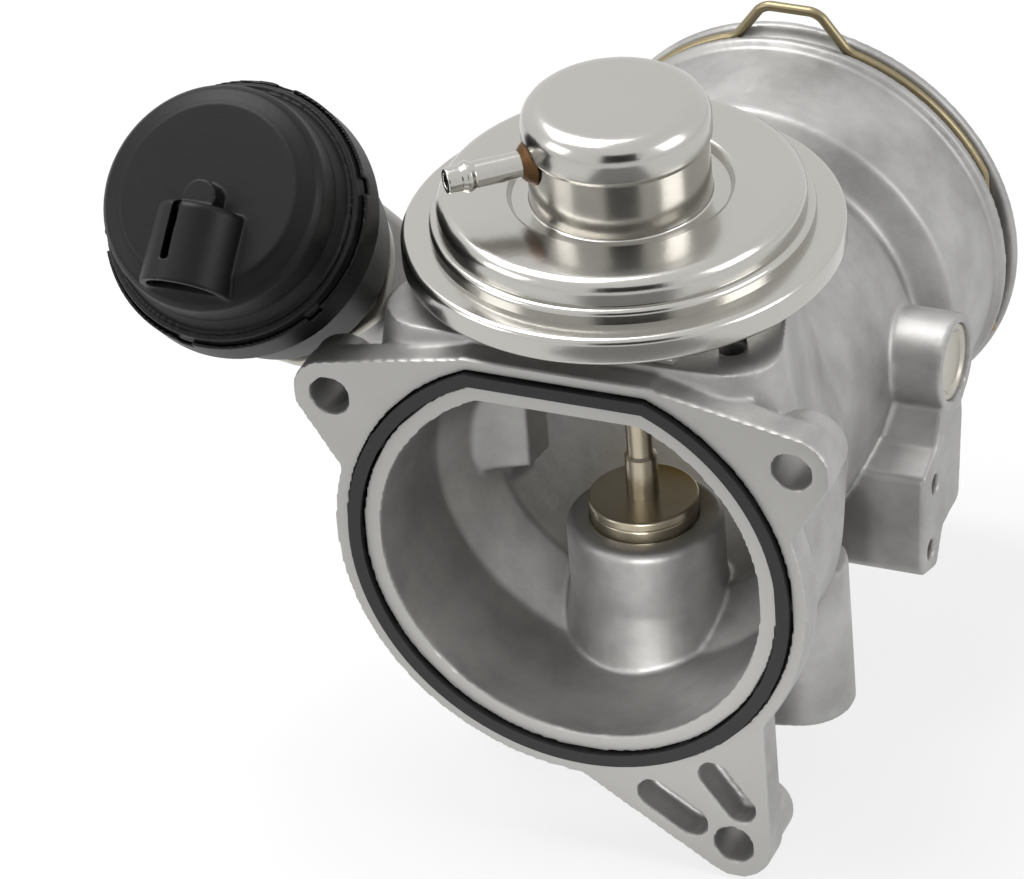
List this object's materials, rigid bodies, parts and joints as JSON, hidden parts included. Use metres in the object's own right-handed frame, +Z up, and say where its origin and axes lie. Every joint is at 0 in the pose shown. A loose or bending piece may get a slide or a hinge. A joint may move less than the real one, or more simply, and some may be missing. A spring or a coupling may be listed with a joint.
{
  "type": "egr valve",
  "caption": "Exhaust gas recirculation valve with a vacuum capsule on top, a throttle flap in its cast duct housing and a side vacuum can that turns the flap.",
  "frame": {"origin": "centre of the manifold flange face, on the axis of the air duct", "axes": "+Y along the duct from the manifold to the hose collar, +Z up along the valve stem, +X to the plugged end of the throttle shaft"},
  "size_m": [0.1238, 0.1228, 0.1233],
  "materials": {
    "cast_aluminium": "die-cast and tumbled, machined where it mates",
    "seal_rubber": "matt moulded",
    "pressed_stainless": "satin pressed stainless sheet",
    "valve_steel": "turned heat-resisting steel, slightly golden",
    "zinc_steel": "zinc plated",
    "bronze_bush": "sintered, oiled",
    "braze": "dull braze",
    "flap_brass": "turned brass plate",
    "spring_steel": "bare spring wire",
    "black_plastic": "moulded glass-filled plastic"
  },
  "bodies": {
    "housing": {"main_housing": "cast_aluminium", "manifold_seal": "seal_rubber", "egr_seat_ring": "valve_steel", "stem_guide_bush": "bronze_bush", "stem_seal": "seal_rubber", "capsule_mount_plate": "pressed_stainless", "capsule_mount_screws": "zinc_steel", "capsule_lower_shell": "pressed_stainless", "capsule_upper_shell": "pressed_stainless", "capsule_diaphragm": "seal_rubber", "capsule_spring": "spring_steel", "vacuum_nipple": "pressed_stainless", "nipple_braze": "braze", "shaft_bush_left": "bronze_bush", "shaft_bush_right": "bronze_bush", "shaft_seal": "seal_rubber", "shaft_end_plug": "zinc_steel", "can_front_cover": "black_plastic", "can_rear_housing": "black_plastic", "can_rod_bush": "bronze_bush", "can_diaphragm": "seal_rubber", "can_spring": "spring_steel", "can_studs": "zinc_steel", "can_nuts": "zinc_steel", "can_bracket": "zinc_steel", "bracket_screws": "zinc_steel"},
    "valve": {"egr_valve_disc": "valve_steel", "egr_valve_stem": "valve_steel", "capsule_spring_cup": "zinc_steel", "capsule_backing_plate": "zinc_steel"},
    "throttle": {"throttle_shaft": "zinc_steel", "throttle_flap": "flap_brass", "flap_screws": "zinc_steel", "throttle_lever": "zinc_steel", "lever_pin": "zinc_steel", "pin_clip": "spring_steel"},
    "rod": {"actuator_rod": "zinc_steel", "rod_eye": "zinc_steel", "can_piston": "zinc_steel"},
    "clip": {"hose_clip": "spring_steel"}
  },
  "joints": [
    {"name": "valve_lift", "type": "slide", "parent": "housing", "child": "valve", "axis": [0, 0, 1], "range_m": [0, 0.0045], "stiffness_N_per_m": 2500, "springref_m": -0.012, "deforming": ["capsule_diaphragm", "capsule_spring"]},
    {"name": "throttle_turn", "type": "hinge", "parent": "housing", "child": "throttle", "pos_m": [0, 0.072, 0], "axis": [-1, 0, 0], "range_deg": [0, 80]},
    {"name": "rod_slide", "type": "slide", "parent": "housing", "child": "rod", "axis": [0, -0.6884, 0.7254], "range_m": [0, 0.0154], "stiffness_N_per_m": 500, "springref_m": -0.02, "deforming": ["can_diaphragm", "can_spring"]},
    {"name": "clip_lift", "type": "slide", "parent": "housing", "child": "clip", "axis": [0, 0, 1], "range_m": [0, 0.005]}
  ],
  "couplings": [
    {"joint": "throttle_turn", "follows": "rod_slide", "rad_per_m": 90.508}
  ]
}
